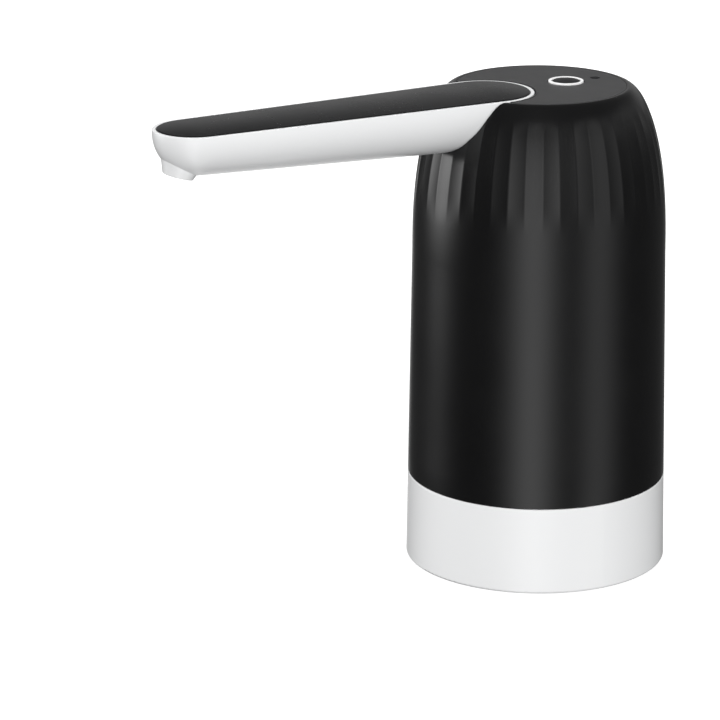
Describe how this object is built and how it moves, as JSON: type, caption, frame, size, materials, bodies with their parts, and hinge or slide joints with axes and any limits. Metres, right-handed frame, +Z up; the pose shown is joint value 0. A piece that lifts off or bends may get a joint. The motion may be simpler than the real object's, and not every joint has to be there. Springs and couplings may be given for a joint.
{
  "type": "electric water bottle pump",
  "caption": "Rechargeable pump for the neck of a large water bottle: round body with a fluted shoulder, base socket, push button and a long plug-in spout with a down-turned nozzle.",
  "frame": {"origin": "centre of the neck socket's mouth, on the plane the base stands on", "axes": "+Z up along the body, spout along -Y, charging port at the back along +Y, +X across the spout"},
  "size_m": [0.073, 0.1538, 0.1362],
  "materials": {
    "white_plastic": "glossy moulded",
    "black_plastic": "glossy moulded",
    "cap_plastic": "satin moulded",
    "panel_plastic": "satin moulded",
    "button_plastic": "satin moulded",
    "ring_plastic": "translucent moulded",
    "lens_plastic": "smoked clear",
    "silicone": "translucent silicone",
    "black_rubber": "moulded",
    "grey_plastic": "moulded",
    "pump_plastic": "moulded",
    "steel": "bright zinc",
    "bronze": "sintered bronze",
    "copper": "enamelled copper",
    "ferrite": "sintered ferrite",
    "board": "solder mask",
    "chip": "moulded",
    "led": "moulded",
    "cell_wrap": "shrink wrap over a steel can",
    "lead_insulation": "insulated wire"
  },
  "bodies": {
    "pump_body": {"base_cup": "white_plastic", "body_shell": "black_plastic", "top_cap": "cap_plastic", "button_bezel": "ring_plastic", "indicator_lens": "lens_plastic", "inlet_fitting": "pump_plastic", "inlet_tube": "silicone", "outlet_tube": "silicone", "inner_frame": "grey_plastic", "frame_screws": "steel", "motor_bracket": "grey_plastic", "bracket_screws": "steel", "battery_cell": "cell_wrap", "battery_tabs": "steel", "battery_leads": "lead_insulation", "motor_can": "steel", "motor_end_cap": "chip", "motor_terminals": "bronze", "motor_magnets": "ferrite", "motor_brushes": "copper", "motor_leads": "lead_insulation", "motor_bearings": "bronze", "motor_screws": "steel", "pump_housing": "pump_plastic", "pump_screws": "steel", "valve_plate": "pump_plastic", "inlet_valves": "black_rubber", "outlet_valves": "black_rubber", "diaphragm": "black_rubber", "pump_head": "pump_plastic", "control_board": "board", "usb_socket": "steel", "tact_switch": "chip", "board_chips": "chip", "indicator_led": "led", "board_screws": "steel"},
    "spout": {"spout_hull": "white_plastic", "spout_panel": "panel_plastic", "spout_seal": "black_rubber"},
    "button": {"button_cap": "button_plastic", "switch_plunger": "chip"},
    "rotor": {"motor_shaft": "steel", "armature_core": "ferrite", "armature_windings": "copper", "commutator": "copper", "pump_crank": "grey_plastic"},
    "wobble": {"wobble_plate": "grey_plastic", "wobble_pin": "steel"}
  },
  "joints": [
    {"name": "spout_lift", "type": "slide", "parent": "pump_body", "child": "spout", "axis": [0, 0, 1], "range_m": [0, 0.03]},
    {"name": "button_press", "type": "slide", "parent": "pump_body", "child": "button", "axis": [0, 0, -1], "range_m": [0, 0.0005], "stiffness_N_per_m": 400, "springref_m": -0.003},
    {"name": "motor_spin", "type": "hinge", "parent": "pump_body", "child": "rotor", "pos_m": [0, 0, 0.09], "axis": [0, 0, 1], "continuous": true, "deforming": ["diaphragm"]},
    {"name": "wobble_turn", "type": "hinge", "parent": "rotor", "child": "wobble", "pos_m": [0, 0, 0.06], "axis": [0, 0.1219, 0.9925], "continuous": true}
  ],
  "couplings": [
    {"joint": "wobble_turn", "follows": "motor_spin", "ratio": -1}
  ]
}
